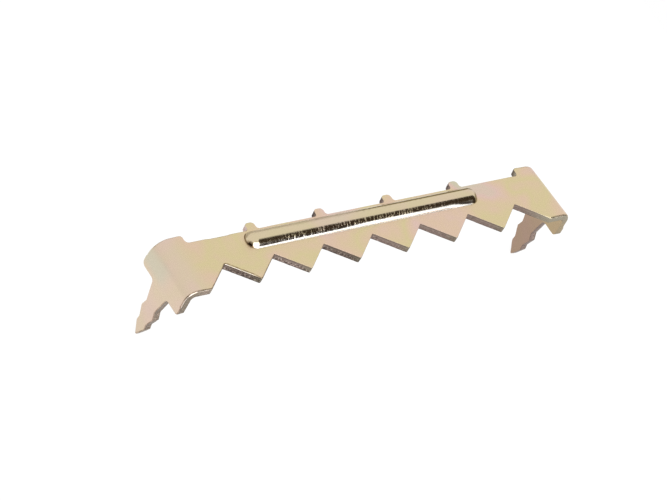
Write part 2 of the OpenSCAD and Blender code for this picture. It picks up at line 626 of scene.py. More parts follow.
    def fold(self, bm: bmesh.types.BMesh) -> None:
        """Bends what lies beyond the flat of the strap down into the flanges.

        Args:
            bm: A piece of the flat blank, changed in place.
        """
        for vert in bm.verts:
            beyond = abs(vert.co.x) - self.flat_x
            if beyond <= 0:
                continue
            sign = math.copysign(1.0, vert.co.x)
            share = (vert.co.y - self.tip_y) / (self.ear_y - self.tip_y)
            inner = self.bend_front_r + (self.bend_inner_r - self.bend_front_r) * share
            straight = self.bend_inner_r - inner
            arc = (inner + self.thickness / 2) * math.pi / 2
            walk = unit(beyond / self.bend_length) * (arc + 2 * straight)
            below = max(beyond - self.bend_length, 0.0)
            turn = unit((walk - straight) / arc) * math.pi / 2
            radius = inner + vert.co.z - self.bottom_z
            level = min(walk, straight)
            drop = max(walk - straight - arc, 0.0) + below
            vert.co.x = sign * (self.flat_x + level + radius * math.sin(turn))
            vert.co.z = self.bottom_z - inner + radius * math.cos(turn) - drop


@dataclass
class Rib:
    """The raised bead along the strap and the groove under it."""

    middle_y: float
    end_x: float
    top_z: float
    thickness: float
    bead_r: float
    bead_axis_z: float
    base_fillet: float = 0.08
    groove_w: float = 1.3
    wall: float = 0.9
    groove_rim: float = 0.15
    bead_steps: int = 28
    fillet_steps: int = 8
    end_steps: int = 40

    @classmethod
    def from_frame(cls, blank: SheetBlank) -> "Rib":
        """Reads the rib's sizes from the box of its CAD node.

        Args:
            blank: The sheet that it rises from.

        Returns:
            The rib.
        """
        low, high = box_mm("stiffening_rib")
        half = (high.y - low.y) / 2
        rise = high.z - blank.top_z
        radius = (half * half + rise * rise) / (2 * rise)
        return cls(
            middle_y=(low.y + high.y) / 2,
            end_x=high.x - half,
            top_z=blank.top_z,
            thickness=blank.thickness,
            bead_r=radius,
            bead_axis_z=high.z - radius,
        )

    @property
    def foot(self) -> float:
        """Half width where the rib's base runs out into the flat sheet."""
        above = self.base_fillet + self.top_z - self.bead_axis_z
        return math.sqrt((self.bead_r + self.base_fillet) ** 2 - above * above)

    def sweep(self, bm: bmesh.types.BMesh, profile: list) -> None:
        """Carries a half profile once round the rib, from the front of its +X end.

        Args:
            bm: Mesh that holds the profile.
            profile: Vertices and edges of the half profile.
        """
        geom = profile
        for end in (self.end_x, -self.end_x):
            for angle, steps, shift in ((math.pi, self.end_steps, 0.0), (0.0, 1, -2 * end)):
                geom = bmesh.ops.spin(
                    bm,
                    geom=geom,
                    cent=(end, self.middle_y, 0.0),
                    axis=AXIS_Z,
                    dvec=AXIS_X * shift,
                    angle=angle,
                    steps=steps,
                )["geom_last"]

    def outline(self, bm: bmesh.types.BMesh, level: float) -> list[bmesh.types.BMEdge]:
        """Draws the rib's outline in the sheet at one height.

        Args:
            bm: Mesh to draw in.
            level: Height of the outline.

        Returns:
            The edges of the closed outline.
        """
        before = set(bm.edges)
        start = bm.verts.new((self.end_x, self.middle_y - self.foot, level))
        self.sweep(bm, [start])
        drawn = {v for e in bm.edges if e not in before for v in e.verts}
        bmesh.ops.remove_doubles(bm, verts=list(drawn), dist=TINY)
        return [e for e in bm.edges if e not in before]

    def build(self) -> bmesh.types.BMesh:
        """Makes the rib's closed mesh.

        Returns:
            The mesh, in millimetres.
        """
        bm = bmesh.new()
        self._draw_half_profile(bm)
        self.sweep(bm, bm.verts[:] + bm.edges[:])
        bmesh.ops.remove_doubles(bm, verts=bm.verts[:], dist=TINY)
        bmesh.ops.dissolve_degenerate(bm, dist=TINY, edges=bm.edges[:])
        bmesh.ops.recalc_face_normals(bm, faces=bm.faces[:])
        return bm

    def _draw_half_profile(self, bm: bmesh.types.BMesh) -> None:
        """Draws half of the rib's section, from the crest round the sheet to the roof of the groove.

        Args:
            bm: Empty mesh to draw in.
        """
        bottom_z = self.top_z - self.thickness
        groove_r = self.groove_w / 2
        groove_axis_z = self.bead_axis_z + self.bead_r - self.wall - groove_r
        fillet_z = self.top_z + self.base_fillet
        slope = math.atan2(self.foot, fillet_z - self.bead_axis_z)
        pen = [bm.verts.new((self.end_x, self.middle_y, self.bead_axis_z + self.bead_r))]

        def arc(out: float, height: float, angle: float, steps: int) -> None:
            """Turns the pen about a point at a distance out from the middle line and a height."""
            nonlocal pen
            made = bmesh.ops.spin(
                bm,
                geom=pen,
                cent=(self.end_x, self.middle_y - out, height),
                axis=AXIS_X,
                angle=angle,
                steps=steps,
            )
            pen = last_verts(made)

        def line(outwards: float, upwards: float) -> None:
            """Moves the pen straight."""
            nonlocal pen
            step = -AXIS_Y * outwards + AXIS_Z * upwards
            pen = last_verts(bmesh.ops.spin(bm, geom=pen, cent=(0, 0, 0), axis=AXIS_X, dvec=step, steps=1))

        arc(0.0, self.bead_axis_z, slope, self.bead_steps)
        arc(self.foot, fillet_z, -slope, self.fillet_steps)
        line(0.0, -self.thickness)
        line(groove_r + self.groove_rim - self.foot, 0.0)
        arc(groove_r + self.groove_rim, bottom_z + self.groove_rim, math.pi / 2, self.fillet_steps)
        line(0.0, groove_axis_z - bottom_z - self.groove_rim)
        arc(0.0, groove_axis_z, -math.pi / 2, self.bead_steps // 2)


@dataclass(frozen=True)
class Relief:
    """A bump's strength, and its depth in millimetres."""

    strength: float
    depth: float


class Graph:
    """A node tree with short calls to add nodes and join them.

    The mix numbers are those of a Mix node's sockets for its factor and its colours.
    """

    noise_roughness: float = 0.55
    mix_inputs: tuple[int, int, int] = (0, 6, 7)
    mix_result: int = 2

    def __init__(self, tree: bpy.types.NodeTree) -> None:
        """Empties a tree.

        Args:
            tree: Node tree of a material or of the world.
        """
        self.tree = tree
        tree.nodes.clear()

    def node(self, kind: str, inputs: dict | None = None, **settings: object) -> bpy.types.Node:
        """Adds a node.

        Args:
            kind: Blender's name of the node type.
            inputs: Values or sockets by input name or number.
            **settings: Properties of the node.

        Returns:
            The node.
        """
        made = self.tree.nodes.new(kind)
        for name, value in settings.items():
            setattr(made, name, value)
        for key, value in (inputs or {}).items():
            if isinstance(value, Socket):
                self.tree.links.new(value, made.inputs[key])
            else:
                made.inputs[key].default_value = value
        return made

    def math(self, operation: str, a: object, b: object = 0.0) -> Socket:
        """Adds a Math node and gives its result."""
        return self.node("ShaderNodeMath", {0: a, 1: b}, operation=operation).outputs[0]

    def product(self, *factors: object) -> Socket:
        """Multiplies any number of values and gives the result."""
        result = factors[0]
        for factor in factors[1:]:
            result = self.math("MULTIPLY", result, factor)
        return result

    def blend(self, factor: object, a: object, b: object, mode: str = "MIX") -> Socket:
        """Mixes two colours and gives the result."""
        made = self.node("ShaderNodeMix", data_type="RGBA", blend_type=mode)
        for number, value in zip(self.mix_inputs, (factor, a, b)):
            socket = made.inputs[number]
            if isinstance(value, Socket):
                self.tree.links.new(value, socket)
            else:
                socket.default_value = value if isinstance(value, float) else (*value, 1.0)
        return made.outputs[self.mix_result]

    def stain(self, factor: object, colour: object, tone: object) -> Socket:
        """Multiplies a colour by a tone as far as a factor says."""
        return self.blend(factor, colour, tone, mode="MULTIPLY")

    def band(self, value: object, limits: Limits, ends: Limits = FULL_RANGE) -> Socket:
        """Carries a value smoothly from the first end at the lower limit to the second at the upper."""
        places = dict(zip(("From Min", "From Max", "To Min", "To Max"), (*limits, *ends)))
        made = self.node("ShaderNodeMapRange", {"Value": value, **places}, interpolation_type="SMOOTHSTEP")
        return made.outputs["Result"]

    def fade(self, value: object, limits: Limits, share: float = 1.0) -> Socket:
        """Carries a value smoothly from a share at the lower limit to 0 at the upper."""
        return self.band(value, limits, (share, 0.0))

    def between(self, value: object, rise: Limits, fall: Limits) -> Socket:
        """Gives 1 between two places, with a soft rise before and a soft fall after."""
        return self.product(self.band(value, rise), self.fade(value, fall))

    def noise(self, where: object, scale: float, detail: float = 2.0, warp: float = 0.0) -> Socket:
        """Adds a noise texture and gives its value."""
        inputs = {"Vector": where, "Scale": scale, "Detail": detail, "Distortion": warp}
        return self.node("ShaderNodeTexNoise", {**inputs, "Roughness": self.noise_roughness}).outputs["Fac"]

    def ramp(self, value: object, stops: Iterable[float], colours: Iterable[Colour]) -> Socket:
        """Turns a value into a colour.

        Args:
            value: Socket from 0 to 1.
            stops: Places on the ramp.
            colours: The colour at each place.

        Returns:
            The colour's socket.
        """
        made = self.node("ShaderNodeValToRGB", {"Fac": value})
        made.color_ramp.interpolation = "LINEAR"
        elements = made.color_ramp.elements
        pairs = list(zip(stops, colours))
        while len(elements) < len(pairs):
            elements.new(1.0)
        for element, (place, colour) in zip(elements, pairs):
            element.position = place
            element.color = (*colour, 1.0)
        return made.outputs["Color"]

    def millimetres(self, scale: Triple = (1.0, 1.0, 1.0), place: Triple = (0.0, 0.0, 0.0)) -> Socket:
        """Gives Object coordinates in millimetres, stretched by a scale on each axis and then shifted."""
        where = self.node("ShaderNodeTexCoord").outputs["Object"]
        factors = tuple(s / MM for s in scale)
        made = self.node("ShaderNodeMapping", {"Vector": where, "Scale": factors, "Location": place})
        return made.outputs["Vector"]

    def axes(self) -> Iterable[Socket]:
        """Gives the three Object coordinates in millimetres."""
        return self.node("ShaderNodeSeparateXYZ", {0: self.millimetres()}).outputs

    def attribute(self, name: str) -> Socket:
        """Gives a number kept on the mesh."""
        return self.node("ShaderNodeAttribute", attribute_name=name).outputs["Fac"]

    def bump(self, height: object, relief: Relief, below: Socket | None = None) -> Socket:
        """Adds a bump.

        Args:
            height: Height socket.
            relief: Strength and depth of the bump.
            below: Normal of a bump that this one goes on.

        Returns:
            The normal's socket.
        """
        inputs = {"Height": height, "Strength": relief.strength, "Distance": relief.depth * MM}
        if below is not None:
            inputs["Normal"] = below
        return self.node("ShaderNodeBump", inputs).outputs["Normal"]

    def metal(self, colour: object, roughness: object, normal: object) -> None:
        """Ends a material with a metal surface."""
        shader = self.node(
            "ShaderNodeBsdfPrincipled",
            {"Base Color": colour, "Metallic": 1.0, "Roughness": roughness, "Normal": normal},
        )
        self.node("ShaderNodeOutputMaterial", {"Surface": shader.outputs[0]})


@dataclass(frozen=True)
class ZincPlate:
    """Zinc plate under a pale yellow passivation that drifts from rose to grey-green.

    Limits named xs, ys and zs are places in millimetres, and depths are shares of the sheet's thickness.
    """

    name: str = "zinc_plate"
    rose: Colour = (0.725, 0.53, 0.455)
    beige: Colour = (0.717, 0.543, 0.385)
    straw: Colour = (0.675, 0.575, 0.325)
    grey_green: Colour = (0.62, 0.58, 0.43)
    drift_stops: tuple[float, ...] = (0.24, 0.37, 0.47, 0.57, 0.68, 0.78)
    drift_size: float = 8.5
    drift_place: Triple = (-197.7, 172.2, -76.5)
    drift_warp: float = 0.5
    cloud_size: float = 1.6
    cloud_share: float = 0.12
    grain_size: float = 0.09
    grain_stretch: Triple = (0.5, 1.0, 1.0)
    grain_limits: Limits = (0.25, 0.75)
    grain_relief: Relief = Relief(0.07, 0.01)
    wave_relief: Relief = Relief(0.1, 0.03)
    roughness: Limits = (0.25, 0.36)
    chip_scale: float = 2.6
    chip_limits: Limits = (0.35, 0.65)
    chip_shares: Limits = (0.35, 1.0)
    # worn: a pale band on the lower die roll, full at the -X teeth and weaker towards +X; partly chipped
    # wear, partly a painted highlight.
    worn: Colour = (0.86, 0.8, 0.74)
    wear_highlight_depths: tuple[Limits, Limits] = ((0.05, 0.11), (0.3, 0.5))
    wear_highlight_xs: Limits = (-16.0, -12.0)
    wear_highlight_shares: Limits = (1.0, 0.3)
    # A thin dark line along the top of the die roll at the front of the -X teeth: partly a chipped scuff,
    # partly a painted dark reflection of the rolled edge.
    scuff_and_shade_line: Colour = (0.4, 0.34, 0.3)
    shade_line_depths: tuple[Limits, Limits] = ((0.002, 0.01), (0.06, 0.1))
    shade_line_xs: Limits = (-17.0, -15.5)
    shade_line_ys: Limits = (-0.5, 0.5)
    pink_end: Colour = (0.69, 0.55, 0.465)
    pink_xs: Limits = (-30.5, -27.0)
    pink_share: float = 0.6
    grey_end: Colour = (0.6, 0.56, 0.435)
    grey_xs: Limits = (-31.75, -31.2)
    grey_ys: Limits = (-1.5, 1.0)
    grey_zs: Limits = (0.0, 1.5)
    grey_share: float = 0.8
    # Painted shade: the inner faces of the flanges and prongs are darkened as if they reflected the
    # shadowed floor under the strap, partly a duller plating; olive higher up, browner down the prong.
    shaded_inner_flange: Colour = (0.4, 0.3, 0.175)
    shaded_inner_prong: Colour = (0.33, 0.22, 0.165)
    shaded_inner_depths: Limits = (0.85, 0.97)
    shaded_inner_xs: Limits = (28.5, 29.5)
    shaded_inner_shares: Limits = (0.3, 0.85)
    olive_ys: Limits = (-2.5, -1.3)
    olive_zs: Limits = (-2.5, 0.5)
    olive_shares: Limits = (1.0, 0.25)

    def colour(self, graph: Graph) -> Socket:
        """Adds the drifting colour of the passivation.

        Args:
            graph: Node tree to add it to.

        Returns:
            The colour's socket.
        """
        where = graph.millimetres(place=self.drift_place)
        drift = graph.noise(where, 1 / self.drift_size, detail=1.0, warp=self.drift_warp)
        cloud = graph.math("SUBTRACT", graph.noise(where, 1 / self.cloud_size), NOISE_MEAN)
        drifted = graph.math("ADD", drift, graph.math("MULTIPLY", cloud, self.cloud_share))
        tones = (self.grey_green, self.rose, self.beige, self.straw, self.beige, self.rose)
        return graph.ramp(drifted, self.drift_stops, tones)

    def skin(self, graph: Graph) -> tuple[Socket, Socket]:
        """Adds the satin of the plated sheet.

        Args:
            graph: Node tree to add it to.

        Returns:
            Sockets of the roughness and the normal.
        """
        grain = graph.noise(graph.millimetres(self.grain_stretch), 1 / self.grain_size, detail=3.0)
        waves = graph.noise(graph.millimetres(), 1 / self.cloud_size, detail=1.0)
        rough = graph.band(grain, self.grain_limits, self.roughness)
        normal = graph.bump(grain, self.grain_relief, graph.bump(waves, self.wave_relief))
        return rough, normal

    def build(self) -> bpy.types.Material:
        """Makes the material.

        Returns:
            The material.
        """
        material = new_material(self.name)
        graph = Graph(material.node_tree)
        x, y, z = graph.axes()
        depth = graph.attribute("depth")
        pink = graph.fade(x, self.pink_xs, self.pink_share)
        colour = graph.blend(pink, self.colour(graph), self.pink_end)
        lobe = graph.product(graph.band(y, self.grey_ys), graph.band(z, self.grey_zs))
        grey = graph.product(lobe, graph.fade(x, self.grey_xs, self.grey_share))
        colour = graph.blend(grey, colour, self.grey_end)
        chipping = graph.noise(graph.millimetres(), self.chip_scale, detail=3.0)
        chips = graph.band(chipping, self.chip_limits, self.chip_shares)
        # Painted dark reflection: a thin dark line along the top of the die roll at the -X teeth, broken up
        # by the chips.
        front = graph.product(graph.fade(x, self.shade_line_xs), graph.fade(y, self.shade_line_ys))
        scuff_and_shade_line = graph.product(graph.between(depth, *self.shade_line_depths), front, chips)
        colour = graph.stain(scuff_and_shade_line, colour, self.scuff_and_shade_line)
        # Pale band on the lower die roll: partly chipped wear, partly a painted highlight.
        wear_and_highlight = graph.product(graph.between(depth, *self.wear_highlight_depths), chips)
        wear_and_highlight = graph.product(wear_and_highlight, graph.band(x, self.wear_highlight_xs, self.wear_highlight_shares))
        colour = graph.blend(wear_and_highlight, colour, self.worn)
        # Painted shade on the inner faces of the flanges and prongs: olive higher up, browner down the
        # prong.
        olive = graph.product(graph.band(z, self.olive_zs), graph.band(y, self.olive_ys, self.olive_shares))
        inner = graph.blend(olive, self.shaded_inner_prong, self.shaded_inner_flange)
        flange = graph.band(graph.math("ABSOLUTE", x), self.shaded_inner_xs, self.shaded_inner_shares)
        colour = graph.blend(graph.product(flange, graph.band(depth, self.shaded_inner_depths)), colour, inner)
        graph.metal(colour, *self.skin(graph))
        return material


@dataclass(frozen=True)
class RibPlace:
    """Sockets that say where a point of the rib is.

    Lift is the share of the rib's rise, across is how far behind its middle line, and left and right are
    how far past the centres of its round ends, towards +X.
    """

    x: Socket
    across: Socket
    lift: Socket
    left: Socket
    right: Socket


@dataclass(frozen=True)
class BurnishedRib:
    """The plate where the rib's die has rubbed it smooth.

    Limits named across, lift, left and right are those of RibPlace.
    """

    plate: ZincPlate
    crest_z: float
    base_z: float
    end_x: float
    middle_y: float
    name: str = "burnished_rib"
    rubbed: Colour = (0.64, 0.55, 0.38)
    rubbed_lift: Limits = (0.02, 0.12)
    rubbed_share: float = 0.6
    bare: Colour = (0.8, 0.765, 0.71)
    bare_across: Limits = (-0.75, -0.4)
    bare_lift: Limits = (0.4, 0.6)
    bare_left: Limits = (-0.85, -0.65)
    bare_right: Limits = (-0.4, 0.2)
    # Painted shade: a darker tone on the rib's rear flank below the crest, from the middle towards +X.
    painted_rear_shade: Colour = (0.7, 0.64, 0.48)
    rear_shade_across: Limits = (0.2, 0.4)
    rear_shade_lift: Limits = (0.9, 0.96)
    rear_shade_xs: Limits = (-3.0, 8.0)
    # Painted shade: an olive darkening low on the rib's +X end.
    painted_end_shade: Colour = (0.66, 0.63, 0.5)
    end_shade_lift: Limits = (0.75, 0.97)
    end_shade_right: Limits = (0.2, 0.7)
    # Painted shade: darker in the crease at the foot of the rib's -X end, and in the front corner of that
    # end.
    crease: Colour = (0.42, 0.37, 0.32)
    crease_shade_lift: Limits = (0.1, 0.26)
    crease_shade_left: Limits = (-0.9, -0.4)
    corner_shade_across: Limits = (-0.4, 0.1)
    corner_shade_lift: Limits = (0.3, 0.5)
    corner_shade_left: Limits = (-0.95, -0.75)
    score_stretch: Triple = (9.0, 0.9, 0.9)
    score_limits: Limits = (0.3, 0.7)
    score_relief: Relief = Relief(0.12, 0.02)
    roughness: Limits = (0.1, 0.17)
    matt_across: Limits = (0.1, 0.6)
    matt_xs: Limits = (-5.0, 3.0)
    matt_share: float = 0.3
    nick_limits: Limits = (0.58, 0.66)
    nick_start: Limits = (-15.0, -11.0)
    nick_stop: Limits = (4.0, 15.0)
    nick_shares: Limits = (1.0, 0.1)
    nick_relief: Relief = Relief(0.3, 0.03)
    swell_across: Limits = (-0.5, 0.5)
    swell_lift: Limits = (0.0, 0.5)
    swell_left: Limits = (-0.6, -0.1)
    swell_right: Limits = (-4.0, -0.6)
    swell_xs: Limits = (-8.0, 1.0)
    swell_relief: Relief = Relief(1.0, 0.1)
    foot_left: Limits = (0.0, 9.0)
    foot_lifts: Limits = (0.0, 0.18)

    def build(self) -> bpy.types.Material:
        """Makes the material.

        Returns:
            The material.
        """
        material = new_material(self.name)
        graph = Graph(material.node_tree)
        place = self._place(graph)
        rubbed = graph.band(place.lift, self.rubbed_lift)
        scores = graph.noise(graph.millimetres(self.score_stretch), 1.0, detail=3.0)
        plain_rough, plain_normal = self.plate.skin(graph)
        smooth = graph.product(graph.band(scores, self.score_limits, self.roughness), rubbed)
        plain = graph.product(plain_rough, graph.math("SUBTRACT", 1.0, rubbed))
        matt = graph.fade(place.x, self.matt_xs, self.matt_share)
        matt = graph.product(graph.band(place.across, self.matt_across), matt)
        rough = graph.math("ADD", graph.math("ADD", smooth, plain), matt)
        nicks = graph.product(graph.band(scores, self.nick_limits), graph.band(place.x, self.nick_start))
        nicks = graph.product(nicks, graph.band(place.x, self.nick_stop, self.nick_shares), rubbed)
        normal = graph.bump(self._swell(graph, place), self.swell_relief, plain_normal)
        normal = graph.bump(scores, self.score_relief, normal)
        normal = graph.bump(nicks, self.nick_relief, normal)
        graph.metal(self._tone(graph, place, rubbed), rough, normal)
        return material

    def _place(self, graph: Graph) -> RibPlace:
        """Adds the coordinates that the rib's marks are placed by.

        Args:
            graph: Node tree to add them to.

        Returns:
            Their sockets.
        """
        x, y, z = graph.axes()
        rise = {"Value": z, "From Min": self.base_z, "From Max": self.crest_z}
        return RibPlace(
            x=x,
            across=graph.math("SUBTRACT", y, self.middle_y),
            lift=graph.node("ShaderNodeMapRange", rise).outputs["Result"],
            left=graph.math("ADD", x, self.end_x),
            right=graph.math("SUBTRACT", x, self.end_x),
        )

    def _tone(self, graph: Graph, place: RibPlace, rubbed: Socket) -> Socket:
        """Adds the rib's colour, with its bare flank, painted shade on its rear flank and at its +X end,
        and painted shade in the crease and front corner of its -X end.

        Args:
            graph: Node tree to add it to.
            place: Where a point is.
            rubbed: How far the die has rubbed a point.

        Returns:
            The colour's socket.
        """
        across, lift = place.across, place.lift
        share = graph.product(rubbed, self.rubbed_share)
        tone = graph.blend(share, self.plate.colour(graph), self.rubbed)
        flank = graph.product(graph.fade(across, self.bare_across), graph.fade(lift, self.bare_lift))
        left, right = graph.band(place.left, self.bare_left), graph.fade(place.right, self.bare_right)
        tone = graph.blend(graph.product(flank, left, right), tone, self.bare)
        # Painted shade on the rear flank.
        rear_shade_mask = graph.product(graph.band(across, self.rear_shade_across), graph.fade(lift, self.rear_shade_lift))
        tone = graph.stain(graph.product(rear_shade_mask, graph.band(place.x, self.rear_shade_xs)), tone, self.painted_rear_shade)
        # Painted shade low on the +X end.
        end_shade_mask = graph.product(graph.band(place.right, self.end_shade_right), graph.fade(lift, self.end_shade_lift))
        tone = graph.stain(end_shade_mask, tone, self.painted_end_shade)
        # Painted shade in the crease round the -X end and in its front corner.
        near = graph.product(graph.fade(place.left, self.crease_shade_left), graph.fade(lift, self.crease_shade_lift))
        tone = graph.stain(near, tone, self.crease)
        corner = graph.product(graph.fade(across, self.corner_shade_across), graph.fade(lift, self.corner_shade_lift))
        corner = graph.product(corner, graph.fade(place.left, self.corner_shade_left))
        return graph.stain(corner, tone, self.crease)

    def _swell(self, graph: Graph, place: RibPlace) -> Socket:
        """Adds the fuller foot of the rib's front, along its left half and at its right end.

        Args:
            graph: Node tree to add it to.
            place: Where a point is.

        Returns:
            Socket of its height.
        """
        left = graph.product(graph.band(place.left, self.swell_left), graph.fade(place.x, self.swell_xs))
        right = graph.band(place.right, self.swell_right)
        foot = graph.band(place.left, self.foot_left, self.foot_lifts)
        foot = graph.product(foot, graph.math("SUBTRACT", 1.0, right))
        above = graph.math("SUBTRACT", place.lift, foot)
        side = graph.fade(place.across, self.swell_across)
        return graph.product(side, graph.math("MAXIMUM", left, right), graph.fade(above, self.swell_lift))


@dataclass(frozen=True)
class ShearedEdge:
    """The cut edge of the sheet: a smooth sheared band above a torn one.

    It is coarse at the -X end, where the die was worn, and finer towards +X. Limits named xs and zs are
    places in millimetres, depths are shares of the sheet's thickness, and reaches are millimetres from the
    back edge, the tooth tips or an end of the flat. Rise and fall are millimetres from each of dull_xs.
    """

    back_y: float
    tip_y: float
    end_x: float
    name: str = "sheared_edge"
    dark: Colour = (0.055, 0.042, 0.037)
    brown: Colour = (0.235, 0.174, 0.152)
    pale: Colour = (0.55, 0.45, 0.4)
    sheared: Colour = (0.31, 0.25, 0.21)
    tear_stops: tuple[float, ...] = (0.24, 0.44, 0.54, 0.76)
    streak_scale: float = 3.6
    streak_slant: float = 0.45
    speck_scale: float = 6.0
    grain_gain: float = 1.35
    grain_relief: Relief = Relief(0.45, 0.05)
    coarse_xs: Limits = (-9.0, 5.0)
    coarse_shares: Limits = (1.0, 0.4)
    torn_depths: Limits = (0.32, 0.48)
    waver_scale: float = 1.6
    waver_gain: float = 0.7
    roughness: Limits = (0.34, 0.55)
    rim: Colour = (0.62, 0.57, 0.53)
    worn_rim: Colour = (0.36, 0.31, 0.28)
    rim_xs: Limits = (-17.0, -12.0)
    upper_rim_depths: tuple[Limits, Limits] = ((0.1, 0.15), (0.18, 0.28))
    lower_rim_depths: Limits = (0.86, 0.97)
    olive: Colour = (0.9, 1.0, 0.9)
    olive_reach: Limits = (0.0, 1.2)
    right_tone: Colour = (0.36, 0.325, 0.245)
    right_low: Colour = (0.4, 0.32, 0.2)
    right_reach: Limits = (-4.5, -1.0)
    right_share: float = 0.8
    right_zs: Limits = (-0.5, 1.2)
    right_tone_zs: Limits = (2.0, 3.5)
    left_tone: Colour = (0.4, 0.3, 0.245)
    left_low: Colour = (0.26, 0.21, 0.16)
    left_reach: Limits = (0.0, 2.0)
    left_share: float = 0.6
    left_tone_reach: Limits = (-1.0, 0.6)
    dull: Colour = (0.66, 0.66, 0.64)
    dull_xs: tuple[float, ...] = (-20.0, -4.0)
    dull_rise: Limits = (-4.5, -3.0)
    dull_fall: Limits = (3.0, 4.5)
    # Darker on the walls of the back edge towards +X.
    darker_back_tone: Colour = (0.46, 0.42, 0.4)
    darker_back_reach: Limits = (0.3, 0.9)
    darker_back_xs: Limits = (-13.0, -8.0)
    plated_nib: Colour = (0.7, 0.55, 0.5)
    plated_reach: Limits = (0.0, 0.2)
    plated_xs: tuple[Limits, Limits] = ((-21.0, -20.0), (-14.0, -13.0))
    plated_share: float = 0.85

    def build(self) -> bpy.types.Material:
        """Makes the material.

        Returns:
            The material.
        """
        material = new_material(self.name)
        graph = Graph(material.node_tree)
        x, y, z = graph.axes()
        depth = graph.attribute("depth")
        slant = graph.product(depth, self.streak_slant)
        along = graph.node("ShaderNodeCombineXYZ", {"X": graph.attribute("run"), "Y": slant}).outputs[0]
        streaks = graph.noise(along, self.streak_scale, detail=3.0)
        specks = graph.noise(graph.millimetres(), self.speck_scale)
        mottle = graph.math("SUBTRACT", graph.math("ADD", streaks, specks), 2 * NOISE_MEAN)
        mottle = graph.product(mottle, self.grain_gain, graph.band(x, self.coarse_xs, self.coarse_shares))
        waver = graph.math("SUBTRACT", graph.noise(along, self.waver_scale), NOISE_MEAN)
        waver = graph.product(waver, self.waver_gain)
        torn = graph.band(graph.math("ADD", depth, waver), self.torn_depths)
        tones = (self.dark, self.brown, self.brown, self.pale)
        fracture = graph.ramp(graph.math("ADD", mottle, NOISE_MEAN), self.tear_stops, tones)
        colour = graph.blend(torn, graph.blend(streaks, self.brown, self.sheared), fracture)
        upper = graph.between(depth, *self.upper_rim_depths)
        lines = graph.math("MAXIMUM", graph.band(depth, self.lower_rim_depths), upper)
        rim = graph.blend(graph.band(x, self.rim_xs), self.worn_rim, self.rim)
        colour = graph.stain(lines, colour, rim)
        colour = graph.stain(graph.fade(y, past(self.tip_y, self.olive_reach)), colour, self.olive)
        colour = self._ends(graph, colour, x, z)
        for middle in self.dull_xs:
            near = graph.between(x, past(middle, self.dull_rise), past(middle, self.dull_fall))
            colour = graph.stain(near, colour, self.dull)
        # Darkens the walls of the back edge towards +X.
        darker_back = graph.product(graph.band(y, past(self.back_y, self.darker_back_reach)), graph.band(x, self.darker_back_xs))
        colour = graph.stain(darker_back, colour, self.darker_back_tone)
        plated = graph.band(y, past(self.back_y, self.plated_reach))
        plated = graph.product(plated, graph.between(x, *self.plated_xs), self.plated_share)
        colour = graph.blend(plated, colour, self.plated_nib)
        rough = graph.band(torn, FULL_RANGE, self.roughness)
        graph.metal(colour, rough, graph.bump(mottle, self.grain_relief))
        return material

    def _ends(self, graph: Graph, colour: Socket, x: Socket, z: Socket) -> Socket:
        """Tones the edge at the two bends.

        Args:
            graph: Node tree to add it to.
            colour: Colour of the edge so far.
            x: Place along the strap.
            z: Height.

        Returns:
            The toned colour's socket.
        """
        right = graph.band(x, past(self.end_x, self.right_reach), (0.0, self.right_share))
        right = graph.product(right, graph.band(z, self.right_zs))
        right_tone = graph.blend(graph.band(z, self.right_tone_zs), self.right_low, self.right_tone)
        colour = graph.blend(right, colour, right_tone)
        left = graph.fade(x, past(-self.end_x, self.left_reach), self.left_share)
        fold = graph.band(x, past(-self.end_x, self.left_tone_reach))
        return graph.blend(left, colour, graph.blend(fold, self.left_low, self.left_tone))


def new_material(name: str) -> bpy.types.Material:
    """Makes an empty material with nodes.

    Args:
        name: Name of the material.

    Returns:
        The material.
    """
    material = bpy.data.materials.new(name)
    material.use_nodes = True
    return material


@dataclass(frozen=True)
class Finishes:
    """The materials that the pieces share."""

    plate: bpy.types.Material
    edge: bpy.types.Material
    rib: bpy.types.Material


@dataclass
class Bench:
    """Turns finished meshes into pieces of the frame."""

    finishes: Finishes
    crease: float = math.radians(30)

    def set_out(self, bm: bmesh.types.BMesh, node: str, slot: Slot) -> bpy.types.Object:
        """Makes a piece from a mesh and hangs it on the frame in place of a CAD node.

        Args:
            bm: Finished mesh in millimetres. It is freed.
            node: CAD node that the piece stands for, and the piece's name.
            slot: The record's slot for its finish.

        Returns:
            The piece.
        """
        self._crease(bm)
        bmesh.ops.scale(bm, vec=(MM, MM, MM), verts=bm.verts[:])
        data = bpy.data.meshes.new(node)
        bm.to_mesh(data)
        bm.free()
        main = self.finishes.rib if slot is Slot.RIB else self.finishes.plate
        for material in (main, self.finishes.edge):
            data.materials.append(material)
        piece = bpy.data.objects.new(f"{node}_skin", data)
        bpy.context.scene.collection.objects.link(piece)
        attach(piece, BODY)
        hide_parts(node)
        log.info("%s: %d faces", piece.name, len(data.polygons))
        return piece

    def _crease(self, bm: bmesh.types.BMesh) -> None:
        """Smooths each zone by itself and gives the torn edge its own material slot.

        Args:
            bm: Mesh to change.
        """
        zone = bm.faces.layers.int.get("zone")
        bm.normal_update()
        for face in bm.faces:
            face.smooth = True
            face.material_index = int(zone is not None and face[zone] == Zone.SHEARED)
        for edge in bm.edges:
            zones = {face[zone] for face in edge.link_faces} if zone else set()
            edge.smooth = len(zones) < 2 and edge.calc_face_angle(math.pi) < self.crease


